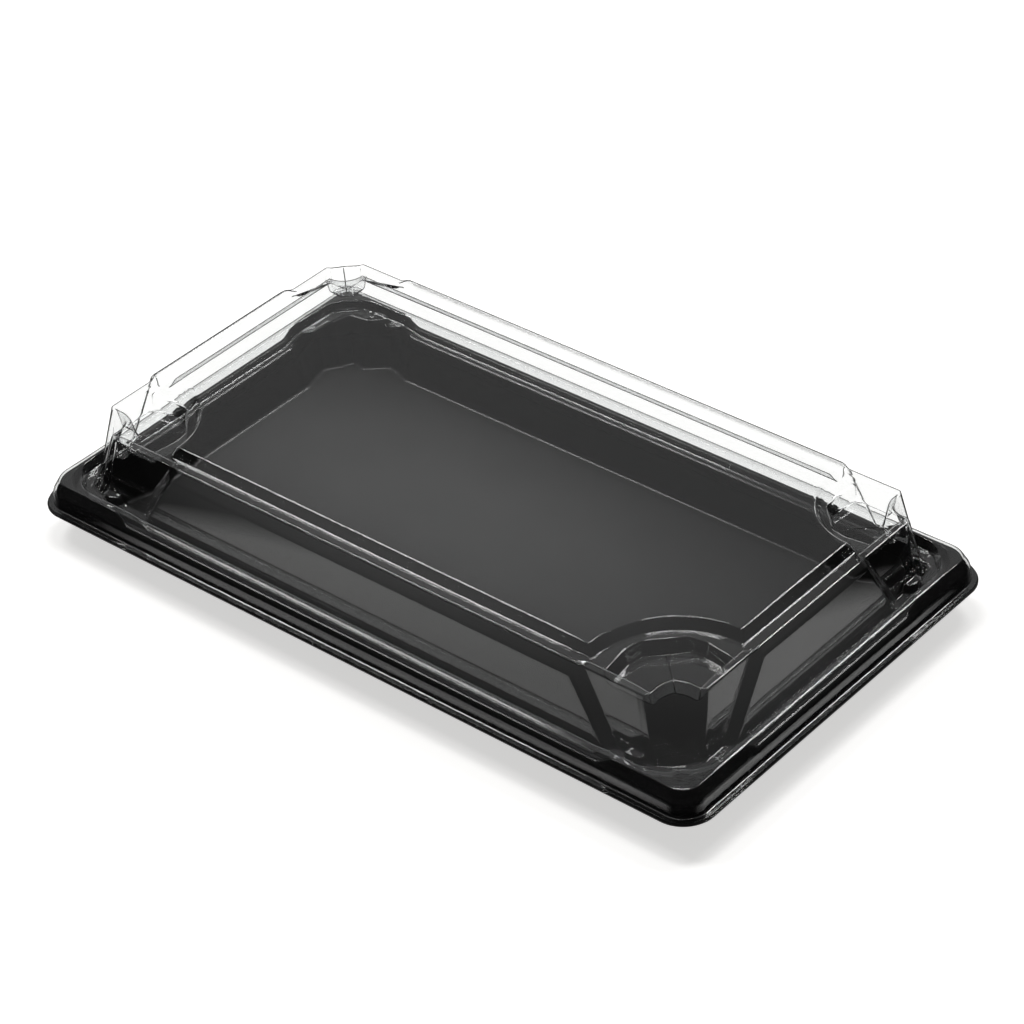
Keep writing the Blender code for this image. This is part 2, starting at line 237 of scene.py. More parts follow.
def finer(ring, first, smooth):
    """The ring with every interval from this station on in three parts."""
    parts = ARC_STEPS // 3
    if smooth:
        u, v, *z = ring[-2]
        return ring[:first] + curve_through(ring[first - 1:] + [(v, u, *z)], parts)
    fine = list(ring[:first])
    for a, b in zip(ring[first:], ring[first + 1:]):
        fine += [between(a, b, step / parts) for step in range(parts)]
    return fine + [ring[-1]]


def corner_feet(name, reach):
    """Stations at the foot of a lid corner, between its tight and its wide form."""
    tight, wide = CORNER_FEET[name]
    return [between(a, b, reach) for a, b in zip(tight, wide)]


def lid_half(corner, side):
    """Rings of half a lid corner, from the side's middle part to the diagonal."""
    size = corner["notch"] / WIDE_NOTCH
    tip = corner["tip"]
    fan = tip / WIDE_TIP
    reach = corner["foot"]
    jog = corner["jog"][side]
    nub = corner["nub"][side]
    nub_at = [u - NUB_SHIFT * (1.0 - reach) for u in NUB_STATIONS]
    chamfer_z = (LID_CHAMFER_LONG_Z, LID_CHAMFER_SHORT_Z)[side]
    slant = JOG_SLANT[0] if nub else JOG_SLANT[1]
    foot_in = max(jog - slant[1], nub_at[0] + 1.7 if nub else 22.0)
    foot_out = max(jog - slant[0], foot_in + 2.6)
    last = nub_at if nub else [foot_in - 0.9, foot_in - 1.8, 20.0, 18.6, 18.0]
    feet = [SIDE_STATION, max(foot_out + 2.5, 33.0), foot_out, foot_in]
    feet += [foot_in + (last[0] - foot_in) * t for t in (0.35, 0.7)]
    feet += list(last)
    arc = len(feet)
    rings = {
        "flange": rounded(LID_FLANGE_OUT, RADIUS_FLANGE, LID_FLANGE_Z, feet),
        "skirt": rounded(LID_SKIRT_OUT, RADIUS_SKIRT, LID_FLANGE_Z, feet),
        "shoulder": rounded(LID_SHOULDER_OUT, RADIUS_SHOULDER, LID_SHOULDER_Z, feet),
        "rim_out": rounded(0.0, RADIUS_RIM, LID_RIM_Z, feet),
    }
    inner = [(u, LID_RIM_IN if k < 3 else LID_RIM_IN + 0.3) for k, u in enumerate(feet)]
    inner += corner_feet("rim_in", reach)
    rings["rim_in"] = finer([(u, v, LID_RIM_Z) for u, v in inner], arc, True)
    outer = [(u, LID_GROOVE_OUTER if k < 3 else LID_GROOVE_OUTER + 0.3)
             for k, u in enumerate(feet)]
    outer += corner_feet("groove_out", reach)
    rings["groove_out"] = finer([
        (u, v, LID_SIDE_GROOVE_Z if k < 2 else LID_CORNER_GROOVE_Z)
        for k, (u, v) in enumerate(outer)
    ], arc, True)
    # Top edge of the wall, then the wall foot below it.
    before = jog + 3.0
    tops = [(SIDE_STATION, LID_CHAMFER_FOOT), (before, LID_CHAMFER_FOOT), (jog, LID_CHAMFER_FOOT)]
    pocket_end = LID_PLATEAU_IN + 20.3 * size
    corner_tops = [jog - JOG_WIDTH_TOP, pocket_end, pocket_end - 0.7]
    corner_tops += [tip + (pocket_end - 0.7 - tip) * t for t in (0.8, 0.65, 0.45, 0.25, 0.12)]
    corner_tops += [tip]
    bow = FLAT_ARCH if corner["notch"] < 10.0 else WIDE_ARCH
    arch = [(tip - 1.2, 9.6)] + [(u * fan, v * fan) for u, v in bow]
    chamfer = [(u, v, chamfer_z) for u, v in tops]
    chamfer += [(u, 7.9, LID_CORNER_RIDGE_Z) for u in corner_tops]
    chamfer = finer(chamfer + [(u, v, LID_CORNER_RIDGE_Z) for u, v in arch], arc, True)
    rings["chamfer"] = chamfer
    ridge = [(u, LID_RIDGE_OUTER, LID_RIDGE_Z) for u in (SIDE_STATION, before, jog)]
    rings["ridge_out"] = ridge + chamfer[3:]
    ridge = [(u, LID_RIDGE_INNER, LID_RIDGE_Z) for u in (SIDE_STATION, before, jog - 0.4)]
    widths = [2.8] * 5 + [2.7, 2.6, 2.4, 2.2]
    ridge += [(u, 7.9 + w, LID_CORNER_RIDGE_Z) for u, w in zip(corner_tops, widths)]
    ridge += [(u + 0.7, v + 1.2, LID_CORNER_RIDGE_Z) for u, v in arch]
    rings["ridge_in"] = finer(ridge, arc, True)
    foot = [(u, LID_RIDGE_FOOT, LID_CHANNEL_Z) for u in (SIDE_STATION, before, jog - 0.8)]
    foot += [(u, 11.2, LID_CHANNEL_Z) for u in corner_tops[:2]]
    near = tip + 1.0
    last = corner_tops[2]
    foot += [(near + (last - near) * t, 11.8, LID_POCKET_Z)
             for t in (1, 0.8, 0.65, 0.45, 0.25, 0.12, 0.0)]
    foot += [(u + 1.4, v + 2.4, LID_POCKET_Z) for u, v in arch]
    rings["ridge_foot"] = finer(foot, arc, True)
    # Wall foot: mid panel, slanting jog strip, corner panel, then the foot of the fan.
    wall = [(feet[0], LID_GROOVE_INNER, LID_SIDE_GROOVE_Z),
            (feet[1], LID_GROOVE_INNER, LID_SIDE_GROOVE_Z),
            (feet[2], LID_GROOVE_INNER + 0.1, LID_CORNER_GROOVE_Z)]
    wall += [(u, 6.9, LID_CORNER_GROOVE_Z) for u in feet[3:]]
    wall += [(u, v, LID_CORNER_GROOVE_Z) for u, v in corner_feet("groove_in", reach)]
    raised = wall[:12] + [(u, v, LID_FAN_FOOT_Z) for u, v in corner_feet("raised", reach)[1:]]
    rings["groove_in"] = finer(wall, arc, False)
    rings["nub_out"] = finer(raised, arc, False)
    rings["nub_in"] = list(rings["nub_out"])
    if nub:
        rise = (LID_NUB_Z - LID_CORNER_GROOVE_Z) / (LID_CORNER_RIDGE_Z - LID_CORNER_GROOVE_Z)
        for k, (u, out) in enumerate(zip(nub_at, NUB_REACH), start=6):
            if out > 0.0:
                rings["groove_in"][k] = (u, 6.9 - out, LID_CORNER_GROOVE_Z)
                rings["nub_out"][k] = (u, 7.3 - out, LID_NUB_Z)
                rings["nub_in"][k] = (u, 6.9 + rise, LID_NUB_Z)
    # Pocket outline and the arc-shaped notch in the raised plateau.
    top = [(20.3, -3.4), (21.6, 6.4), (20.7, 11.9), (16.2, 16.2)]
    top = [(LID_PLATEAU_IN + size * u, LID_PLATEAU_IN + size * v) for u, v in top]
    top[0] = (pocket_end, 11.2)
    spots = [(0, 0.0), (0, 0.25), (0, 0.5), (0, 0.75), (1, 0.0), (1, 0.5), (2, 0.0), (2, 0.33),
             (2, 0.67), (2, 1.0)]
    edge = [between(top[k], top[k + 1], t) for k, t in spots]
    centre = LID_PLATEAU_IN
    floor = []
    for k, (u, v) in enumerate(edge):
        shrink = 0.8 / math.hypot(u - centre, v - centre)
        floor.append((u + (centre - u) * shrink, max(v + (centre - v) * shrink, 11.8)))
    floor[0] = (pocket_end - 0.7, 11.8)
    rings["pocket_top"] = finer(foot[:5] + [(u, v, LID_CHANNEL_Z) for u, v in edge], arc, True)
    rings["pocket_floor"] = finer(foot[:5] + [(u, v, LID_POCKET_Z) for u, v in floor], arc, True)
    for name, inset, z, wider in (
            ("notch_foot", LID_SLOPE_FOOT, LID_CHANNEL_Z, -NOTCH_FOOT_INSET),
            ("notch_top", LID_PLATEAU_IN, LID_PLATEAU_Z, 0.0),
            ("plateau", LID_PLATEAU_IN + INWARD, LID_PLATEAU_Z, INWARD)):
        radius = corner["notch"] + wider
        drop = math.asin((centre - inset) / radius)
        ring = [(SIDE_STATION, inset, z), (centre + radius + 3.0, inset, z)]
        for step in range(NOTCH_STEPS + 1):
            angle = -drop + (math.radians(45.0) + drop) * step / NOTCH_STEPS
            ring.append((centre + radius * math.cos(angle), centre + radius * math.sin(angle), z))
        rings[name] = ring
    return rings


def tray_half(corner, side):
    """Rings of half a tray corner, from the side's middle part to the diagonal."""
    feet = (58.0, 29.5, 25.0, 20.0, 14.5)
    arc = len(feet)
    rings = {
        "flange": rounded(TRAY_FLANGE_OUT, RADIUS_FLANGE + 0.4, TRAY_FLANGE_Z, feet),
        "skirt": rounded(TRAY_SKIRT_OUT, RADIUS_SKIRT - 0.7, TRAY_FLANGE_Z, feet),
        "shoulder": rounded(TRAY_SHOULDER_OUT, RADIUS_SHOULDER - 0.7, TRAY_CORNER_SHOULDER_Z, feet),
        "rim_out": rounded(0.46, RADIUS_TRAY_RIM, TRAY_CORNER_RIM_Z, feet),
    }
    for k in (0, 1):
        rings["shoulder"][k] = (feet[k], TRAY_SHOULDER_OUT, TRAY_SIDE_SHOULDER_Z)
        rings["rim_out"][k] = (feet[k], 0.2, TRAY_SIDE_RIM_Z)
    low = [(u, 1.6, TRAY_SIDE_RIM_Z) for u in feet[:2]]
    flat = [(25.0, 1.3), (20.0, 1.3), (14.5, 1.3), (10.6, 1.5), (8.2, 1.9), (6.2, 2.8), (4.3, 4.3)]
    rings["rim_in"] = finer(low + [(u, v, TRAY_CORNER_RIM_Z) for u, v in flat], arc, True)
    low = [(u, 1.95, TRAY_SIDE_LEDGE_Z) for u in feet[:2]]
    flat = [(25.0, 2.1), (20.0, 2.1), (14.6, 2.1), (11.0, 2.3), (8.6, 2.7), (6.8, 3.6), (5.0, 5.0)]
    rings["ledge_out"] = finer(low + [(u, v, TRAY_LEDGE_Z) for u, v in flat], arc, True)
    low = [(u, 4.3, TRAY_WALL_TOP_Z) for u in feet[:2]]
    teeth = TRAY_TEETH_TOP[side]
    rings["wall_top"] = finer(low + [(u, v, TRAY_LEDGE_Z) for u, v in teeth], arc, False)
    feet_z = [(u, v, TRAY_FLOOR_Z) for u, v in TRAY_TEETH_FOOT[side]]
    rings["floor"] = finer(feet_z, arc, False)
    rings["floor_in"] = [
        (u + INWARD * min(max((30.0 - u) / 15.0, 0.0), 1.0), v + INWARD, z)
        for u, v, z in rings["floor"]
    ]
    return rings


def corner_rings(half, corner):
    """Full corner from the long side to the short side."""
    long_side = half(corner, 0)
    short_side = half(corner, 1)
    rings = {}
    for name, points in long_side.items():
        other = [(v, u, z) for u, v, z in reversed(short_side[name][:-1])]
        rings[name] = points + other
    return rings


def full_rings(half, names, corners):
    """Closed rings round the whole object, counterclockwise seen from above."""
    rings = {name: [] for name in names}
    for corner in corners:
        local = corner_rings(half, corner)
        sx, sy = corner["sx"], corner["sy"]
        for name in names:
            points = local[name] if sx * sy < 0 else list(reversed(local[name]))
            rings[name] += [(sx * (RIM_X - u), sy * (RIM_Y - v), z) for u, v, z in points]
    return np.array([rings[name] for name in names], float)


def fillet(line, reach, steps, closed):
    """Polyline with each bend rounded: steps[k] points are added at point k.

    A run of coincident points counts as one bend and shares its points out.
    """
    count = len(line)
    same = [np.linalg.norm(line[k] - line[(k + 1) % count]) < 1e-4 for k in range(count)]
    if not closed:
        same[-1] = False
    first = 0
    if closed:
        first = next((k for k in range(count) if not same[k - 1]), 0)
    points = [None] * count
    k = first
    while k < first + count:
        end = k
        while same[end % count] and end - k < count - 1:
            end += 1
        run = [i % count for i in range(k, end + 1)]
        here = line[run[0]]
        if closed or (k > 0 and end < count - 1):
            before = line[(k - 1) % count] - here
            after = line[(end + 1) % count] - here
            lengths = (np.linalg.norm(before), np.linalg.norm(after))
            back = min(max(reach[i] for i in run), 0.46 * lengths[0], 0.46 * lengths[1])
            start = here + before / lengths[0] * back
            finish = here + after / lengths[1] * back
        else:
            start = finish = here
        total = sum(steps[i] + 1 for i in run)
        made = 0
        for i in run:
            part = []
            for _ in range(steps[i] + 1):
                t = made / (total - 1) if total > 1 else 0.5
                made += 1
                curve = (1 - t) ** 2 * start + 2 * t * (1 - t) * here + t ** 2 * finish
                part.append(curve if total > 1 else here)
            points[i] = part
        k = end + 1
    return [point for part in points for point in part]


def bends(grid):
    """Largest bend at each station over all the rings, in degrees."""
    before = grid - np.roll(grid, 1, axis=1)
    after = np.roll(grid, -1, axis=1) - grid
    lengths = np.linalg.norm(before, axis=2) * np.linalg.norm(after, axis=2)
    dots = (before * after).sum(axis=2)
    safe = np.where(lengths > 1e-6, lengths, 1.0)
    cosines = np.where(lengths > 1e-6, dots / safe, 1.0)
    return np.degrees(np.arccos(np.clip(cosines, -1.0, 1.0))).max(axis=0)


def softened(grid, reaches):
    """Grid of ring points with fillets across the rings, then along them."""
    rings, stations = grid.shape[:2]
    steps = [FILLET_STEPS if 0 < r < rings - 1 else 0 for r in range(rings)]
    columns = [fillet(list(grid[:, k]), reaches, steps, False) for k in range(stations)]
    grid = np.array(columns).transpose(1, 0, 2)
    steps = [FILLET_STEPS if bend > BEND_LIMIT else 0 for bend in bends(grid)]
    reach = [STATION_REACH] * stations
    return np.array([fillet(list(ring), reach, steps, True) for ring in grid])


def sheet_mesh(name, grid):
    """Open sheet lofted through the rings and closed over the last one."""
    vertices = []
    index = {}

    def add(point):
        key = tuple(round(float(value), 3) for value in point)
        if key not in index:
            index[key] = len(vertices)
            vertices.append(tuple(float(value) * MM for value in point))
        return index[key]

    loops = [[add(point) for point in ring] for ring in grid]
    faces = []
    for outer, inner in zip(loops, loops[1:]):
        for k in range(len(outer)):
            following = (k + 1) % len(outer)
            quad = [outer[k], outer[following], inner[following], inner[k]]
            face = [v for i, v in enumerate(quad) if v != quad[i - 1]]
            if len(set(face)) == len(face) and len(face) > 2:
                faces.append(face)
    last = loops[-1]
    faces.append([v for i, v in enumerate(last) if v != last[i - 1]])
    mesh = bpy.data.meshes.new(name)
    mesh.from_pydata(vertices, [], faces)
    return mesh


def inner_point(vertex, thickness):
    """Point under the sheet that lies one thickness from every face round the vertex."""
    normals = np.array([tuple(face.normal) for face in vertex.link_faces])
    weights = np.array([loop.calc_angle() for loop in vertex.link_loops])
    matrix = (normals * weights[:, None]).T @ normals + 0.004 * np.eye(3)
    push = np.linalg.solve(matrix, -thickness * (normals * weights[:, None]).sum(axis=0))
    length = np.linalg.norm(push)
    if length > 1.5 * thickness:
        push *= 1.5 * thickness / length
    return np.array(vertex.co) + push


def thicken(mesh, thickness):
    """Closed shell: the open sheet, its offset copy and the strip that joins their edges."""
    bm = bmesh.new()
    bm.from_mesh(mesh)
    bmesh.ops.dissolve_degenerate(bm, dist=1e-6, edges=bm.edges)
    bm.normal_update()
    bm.verts.index_update()
    outer = [tuple(vertex.co) for vertex in bm.verts]
    inner = [inner_point(vertex, thickness) for vertex in bm.verts]
    count = len(outer)
    faces = []
    for face in bm.faces:
        loop = [vertex.index for vertex in face.verts]
        faces.append(loop)
        faces.append([index + count for index in reversed(loop)])
    for edge in bm.edges:
        if edge.is_boundary:
            a, b = (loop_vertex.index for loop_vertex in edge.verts)
            loop = edge.link_loops[0]
            if loop.vert.index != a:
                a, b = b, a
            faces.append([b, a, a + count, b + count])
    bm.free()
    points = outer + [tuple(point) for point in inner]
    points = [(x, y, max(z, 0.0)) for x, y, z in points]
    shell = bpy.data.meshes.new(mesh.name)
    shell.from_pydata(points, [], faces)
    shell.update()
    shell.polygons.foreach_set("use_smooth", [True] * len(shell.polygons))
    shell.set_sharp_from_angle(angle=math.radians(50.0))
    bpy.data.meshes.remove(mesh)
    return shell


def sheet_piece(name, node, grid, thickness, material):
    """Piece made of one formed sheet, standing for its CAD node."""
    shell = thicken(sheet_mesh(name, grid), thickness)
    shell.name = name
    shell.materials.append(material)
    piece = bpy.data.objects.new(name, shell)
    bpy.context.scene.collection.objects.link(piece)
    weigh = piece.modifiers.new("Even shading", "WEIGHTED_NORMAL")
    weigh.mode = "FACE_AREA"
    weigh.weight = 50
    weigh.keep_sharp = True
    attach(piece, "root")
    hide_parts(node)
    return piece


def group_tree(name, inputs, outputs):
    """New shader node group with its sockets, and its input and output nodes."""
    tree = bpy.data.node_groups.new(name, "ShaderNodeTree")
    for label, kind, value in inputs:
        socket = tree.interface.new_socket(label, in_out="INPUT", socket_type=kind)
        if value is not None:
            socket.default_value = value
    for label, kind in outputs:
        tree.interface.new_socket(label, in_out="OUTPUT", socket_type=kind)
    return tree, tree.nodes.new("NodeGroupInput"), tree.nodes.new("NodeGroupOutput")


def noise(tree, vector, scale, detail, roughness=0.5):
    """Noise texture node reading this vector."""
    node = tree.nodes.new("ShaderNodeTexNoise")
    node.inputs["Scale"].default_value = scale
    node.inputs["Detail"].default_value = detail
    node.inputs["Roughness"].default_value = roughness
    tree.links.new(vector, node.inputs["Vector"])
    return node


def math_node(tree, operation, first, second=None):
    """Math node whose inputs are sockets or plain numbers."""
    node = tree.nodes.new("ShaderNodeMath")
    node.operation = operation
    for socket, value in zip(node.inputs, (first, second)):
        if isinstance(value, (int, float)):
            socket.default_value = value
        elif value is not None:
            tree.links.new(value, socket)
    return node.outputs["Value"]


def sheet_wave_group():
    """Slow unevenness of formed sheet, with fine pitting, as one normal."""
    tree, given, out = group_tree(
        "Formed sheet unevenness",
        (("Wave Scale", "NodeSocketFloat", 30.0), ("Wave Height", "NodeSocketFloat", 0.1),
         ("Grain Scale", "NodeSocketFloat", 3000.0), ("Grain Height", "NodeSocketFloat", 0.01),
         ("Grain Mask", "NodeSocketFloat", 1.0)),
        (("Normal", "NodeSocketVector"), ("Grain", "NodeSocketFloat")),
    )
    place = tree.nodes.new("ShaderNodeTexCoord").outputs["Object"]
    wave = noise(tree, place, 30.0, 1.0)
    tree.links.new(given.outputs["Wave Scale"], wave.inputs["Scale"])
    grain = noise(tree, place, 3000.0, 2.0, 0.6)
    tree.links.new(given.outputs["Grain Scale"], grain.inputs["Scale"])
    slow = tree.nodes.new("ShaderNodeBump")
    slow.inputs["Distance"].default_value = MM
    tree.links.new(given.outputs["Wave Height"], slow.inputs["Strength"])
    tree.links.new(wave.outputs["Fac"], slow.inputs["Height"])
    fine = tree.nodes.new("ShaderNodeBump")
    fine.inputs["Distance"].default_value = 0.1 * MM
    strength = math_node(tree, "MULTIPLY", given.outputs["Grain Height"],
                         given.outputs["Grain Mask"])
    tree.links.new(strength, fine.inputs["Strength"])
    tree.links.new(grain.outputs["Fac"], fine.inputs["Height"])
    tree.links.new(slow.outputs["Normal"], fine.inputs["Normal"])
    tree.links.new(fine.outputs["Normal"], out.inputs["Normal"])
    tree.links.new(grain.outputs["Fac"], out.inputs["Grain"])
    return tree


def rubbed_group():
    """Mask of faint handling scuffs, for roughness."""
    tree, given, out = group_tree(
        "Handling scuffs",
        (("Scale", "NodeSocketFloat", 60.0), ("Low", "NodeSocketFloat", 0.1),
         ("High", "NodeSocketFloat", 0.2)),
        (("Roughness", "NodeSocketFloat"),),
    )
    place = tree.nodes.new("ShaderNodeTexCoord").outputs["Object"]
    patches = noise(tree, place, 60.0, 4.0, 0.65)
    tree.links.new(given.outputs["Scale"], patches.inputs["Scale"])
    ramp = tree.nodes.new("ShaderNodeMapRange")
    ramp.inputs["From Min"].default_value = 0.42
    ramp.inputs["From Max"].default_value = 0.72
    tree.links.new(patches.outputs["Fac"], ramp.inputs["Value"])
    tree.links.new(given.outputs["Low"], ramp.inputs["To Min"])
    tree.links.new(given.outputs["High"], ramp.inputs["To Max"])
    tree.links.new(ramp.outputs["Result"], out.inputs["Roughness"])
    return tree


def painted_floor_shade_group():
    """Colour of the black sheet with painted light on the grained floor: a lighter painted sheen in the
    middle fading to painted shade near the walls, with random mottling.
    """
    tree, given, out = group_tree(
        "Painted floor shade",
        (("Near", "NodeSocketFloat", 0.005), ("Edge", "NodeSocketFloat", 0.02),
         ("Middle", "NodeSocketFloat", 0.07), ("Mask", "NodeSocketFloat", 1.0)),
        (("Colour", "NodeSocketColor"),),
    )
    place = tree.nodes.new("ShaderNodeTexCoord").outputs["Object"]
    moved = tree.nodes.new("ShaderNodeVectorMath")
    moved.operation = "SUBTRACT"
    moved.inputs[1].default_value = [value * MM for value in PAINTED_LIGHT_MIDDLE]
    tree.links.new(place, moved.inputs[0])
    scaled = tree.nodes.new("ShaderNodeVectorMath")
    scaled.operation = "MULTIPLY"
    scaled.inputs[1].default_value = [1.0 / (value * MM) for value in PAINTED_LIGHT_REACH]
    tree.links.new(moved.outputs["Vector"], scaled.inputs[0])
    length = tree.nodes.new("ShaderNodeVectorMath")
    length.operation = "LENGTH"
    tree.links.new(scaled.outputs["Vector"], length.inputs[0])
    # Painted shade and sheen: 1 at the floor's middle, falling to 0 near the walls.
    fade = tree.nodes.new("ShaderNodeMapRange")
    fade.interpolation_type = "SMOOTHSTEP"
    fade.inputs["From Min"].default_value = 1.05
    fade.inputs["From Max"].default_value = 0.1
    tree.links.new(length.outputs["Value"], fade.inputs["Value"])
    cloud = noise(tree, place, 40.0, 3.0)
    speck = noise(tree, place, 1800.0, 1.0)
    mottled = math_node(tree, "ADD", math_node(tree, "MULTIPLY", cloud.outputs["Fac"], 0.35),
                        math_node(tree, "MULTIPLY", speck.outputs["Fac"], 0.35))
    strength = math_node(tree, "MULTIPLY", fade.outputs["Result"],
                         math_node(tree, "ADD", mottled, 0.65))
    grey = tree.nodes.new("ShaderNodeMix")
    tree.links.new(strength, grey.inputs["Factor"])
    tree.links.new(given.outputs["Edge"], grey.inputs["A"])
    tree.links.new(given.outputs["Middle"], grey.inputs["B"])
    whole = tree.nodes.new("ShaderNodeMix")
    tree.links.new(given.outputs["Mask"], whole.inputs["Factor"])
    tree.links.new(given.outputs["Near"], whole.inputs["A"])
    tree.links.new(grey.outputs["Result"], whole.inputs["B"])
    colour = tree.nodes.new("ShaderNodeCombineColor")
    for channel in ("Red", "Green", "Blue"):
        tree.links.new(whole.outputs["Result"], colour.inputs[channel])
    tree.links.new(colour.outputs["Color"], out.inputs["Colour"])
    return tree


def grouped(name, maker):
    """The node group of this name, made once."""
    return bpy.data.node_groups.get(name) or maker()


def placed(tree, name, maker, **values):
    """Group node in a material's tree with its own values."""
    node = tree.nodes.new("ShaderNodeGroup")
    node.node_tree = grouped(name, maker)
    for label, value in values.items():
        node.inputs[label.replace("_", " ")].default_value = value
    return node


def new_material(name):
    """Material with an empty node tree, its Principled shader and its output."""
    made = bpy.data.materials.new(name)
    made.use_nodes = True
    tree = made.node_tree
    tree.nodes.clear()
    shader = tree.nodes.new("ShaderNodeBsdfPrincipled")
    out = tree.nodes.new("ShaderNodeOutputMaterial")
    tree.links.new(shader.outputs["BSDF"], out.inputs["Surface"])
    return made, tree, shader, out


def black_plastic(settings):
    """Black formed sheet: glossy rim and walls, finely grained matte floor whose colour carries painted
    shade and sheen.
    """
    made, tree, shader, _ = new_material("Black tray plastic")
    shader.inputs["IOR"].default_value = 1.5
    place = tree.nodes.new("ShaderNodeTexCoord").outputs["Object"]
    parts = tree.nodes.new("ShaderNodeSeparateXYZ")
    tree.links.new(place, parts.inputs["Vector"])
    floor = tree.nodes.new("ShaderNodeMapRange")
    floor.interpolation_type = "SMOOTHSTEP"
    floor.inputs["From Min"].default_value = 11.5 * MM
    floor.inputs["From Max"].default_value = 7.0 * MM
    tree.links.new(parts.outputs["Z"], floor.inputs["Value"])
    # Painted light in the floor colour: lighter in the middle as a painted sheen, darker near the walls
    # as painted shade.
    shaded_floor = placed(tree, "Painted floor shade", painted_floor_shade_group, Near=settings.colour[0],
                  Edge=settings.painted_shade_edge, Middle=settings.painted_sheen_middle)
    flat = tree.nodes.new("ShaderNodeMapRange")
    flat.inputs["From Min"].default_value = 1.4 * MM
    flat.inputs["From Max"].default_value = 0.7 * MM
    tree.links.new(parts.outputs["Z"], flat.inputs["Value"])
    tree.links.new(flat.outputs["Result"], shaded_floor.inputs["Mask"])
    tree.links.new(shaded_floor.outputs["Colour"], shader.inputs["Base Color"])
    sheet = placed(tree, "Formed sheet unevenness", sheet_wave_group, Wave_Scale=28.0,
                   Wave_Height=settings.unevenness, Grain_Scale=settings.grain_scale,
                   Grain_Height=settings.grain_height)
    tree.links.new(floor.outputs["Result"], sheet.inputs["Grain Mask"])
    scuffs = placed(tree, "Handling scuffs", rubbed_group, Scale=70.0,
                    Low=settings.roughness * 0.85, High=settings.roughness * 1.3)
    mix = tree.nodes.new("ShaderNodeMix")
    tree.links.new(floor.outputs["Result"], mix.inputs["Factor"])
    tree.links.new(scuffs.outputs["Roughness"], mix.inputs["A"])
    mix.inputs["B"].default_value = settings.floor_roughness
    tree.links.new(mix.outputs["Result"], shader.inputs["Roughness"])
    tree.links.new(sheet.outputs["Normal"], shader.inputs["Normal"])
    shader.inputs["Specular IOR Level"].default_value = settings.shine
    gloss = tree.nodes.new("ShaderNodeMapRange")
    gloss.inputs["From Min"].default_value = 0.53 * MM
    gloss.inputs["From Max"].default_value = 0.7 * MM
    gloss.inputs["To Max"].default_value = settings.gloss
    tree.links.new(parts.outputs["Z"], gloss.inputs["Value"])
    tree.links.new(gloss.outputs["Result"], shader.inputs["Coat Weight"])
    shader.inputs["Coat Roughness"].default_value = 0.14
    return made


def clear_plastic(settings):
    """Clear formed sheet that lets lamp light through to what it covers."""
    made, tree, shader, out = new_material("Clear lid plastic")
    shader.inputs["Base Color"].default_value = (*settings.colour, 1.0)
    shader.inputs["IOR"].default_value = settings.ior
    shader.inputs["Transmission Weight"].default_value = 1.0
    sheet = placed(tree, "Formed sheet unevenness", sheet_wave_group, Wave_Scale=36.0,
                   Wave_Height=settings.unevenness, Grain_Scale=900.0, Grain_Height=0.002)
    shader.inputs["Roughness"].default_value = 0.0
    tree.links.new(sheet.outputs["Normal"], shader.inputs["Normal"])
    through = tree.nodes.new("ShaderNodeBsdfTransparent")
    through.inputs["Color"].default_value = (*settings.shade, 1.0)
    path = tree.nodes.new("ShaderNodeLightPath")
    soft = math_node(tree, "MAXIMUM", path.outputs["Is Shadow Ray"],
                     path.outputs["Is Diffuse Ray"])
    blurred = math_node(tree, "SUBTRACT", path.outputs["Is Glossy Ray"],
                        path.outputs["Is Singular Ray"])
    either = math_node(tree, "MAXIMUM", soft, blurred)
    mix = tree.nodes.new("ShaderNodeMixShader")
    tree.links.new(either, mix.inputs["Fac"])
    tree.links.new(shader.outputs["BSDF"], mix.inputs[1])
    tree.links.new(through.outputs["BSDF"], mix.inputs[2])
    tree.links.new(mix.outputs["Shader"], out.inputs["Surface"])
    return made


class TraySettings(bpy.types.PropertyGroup):
    """Sizes and finish of the black tray."""

    thickness: bpy.props.FloatProperty(
        name="Sheet Thickness", description="Thickness of the formed black sheet",
        default=0.45 * MM, min=0.2 * MM, max=0.5 * MM, subtype="DISTANCE", unit="LENGTH",
        precision=5)
    fillet: bpy.props.FloatProperty(
        name="Fillet Scale", description="Multiplies the reach of every fillet",
        default=1.0, min=0.0, max=2.0)
    colour: bpy.props.FloatVectorProperty(
        name="Colour", description="Colour of the black plastic", subtype="COLOR", size=3,
        default=(0.005, 0.005, 0.005), min=0.0, max=1.0)
    # Painted shade: the floor's darker grey near the walls, where the walls shade it.
    painted_shade_edge: bpy.props.FloatProperty(
        name="Painted Shade Edge", description="Greyness of the matte floor near the walls",
        default=0.012, min=0.0, max=1.0, subtype="FACTOR")
    # Painted sheen: the floor's lighter grey at its middle, standing in for reflected light.
    painted_sheen_middle: bpy.props.FloatProperty(
        name="Painted Sheen Middle", description="Greyness of the matte floor at its middle",
        default=0.078, min=0.0, max=1.0, subtype="FACTOR")
    roughness: bpy.props.FloatProperty(
        name="Wall Roughness", description="Roughness of the glossy rim and walls",
        default=0.16, min=0.0, max=1.0, subtype="FACTOR")
    floor_roughness: bpy.props.FloatProperty(
        name="Floor Roughness", description="Roughness of the grained floor",
        default=0.5, min=0.0, max=1.0, subtype="FACTOR")
    shine: bpy.props.FloatProperty(
        name="Shine", description="Strength of the matte sheet's own reflections",
        default=0.08, min=0.0, max=1.0, subtype="FACTOR")
    gloss: bpy.props.FloatProperty(
        name="Gloss", description="Strength of the smooth skin on the rim and walls",
        default=0.5, min=0.0, max=1.0, subtype="FACTOR")
    unevenness: bpy.props.FloatProperty(
        name="Unevenness", description="Strength of the slow waves in the sheet",
        default=0.025, min=0.0, max=1.0, subtype="FACTOR")
    grain_scale: bpy.props.FloatProperty(
        name="Grain Scale", description="Fineness of the floor's grain",
        default=2400.0, min=100.0, max=10000.0)
    grain_height: bpy.props.FloatProperty(
        name="Grain Height", description="Strength of the floor's grain",
        default=0.15, min=0.0, max=1.0, subtype="FACTOR")


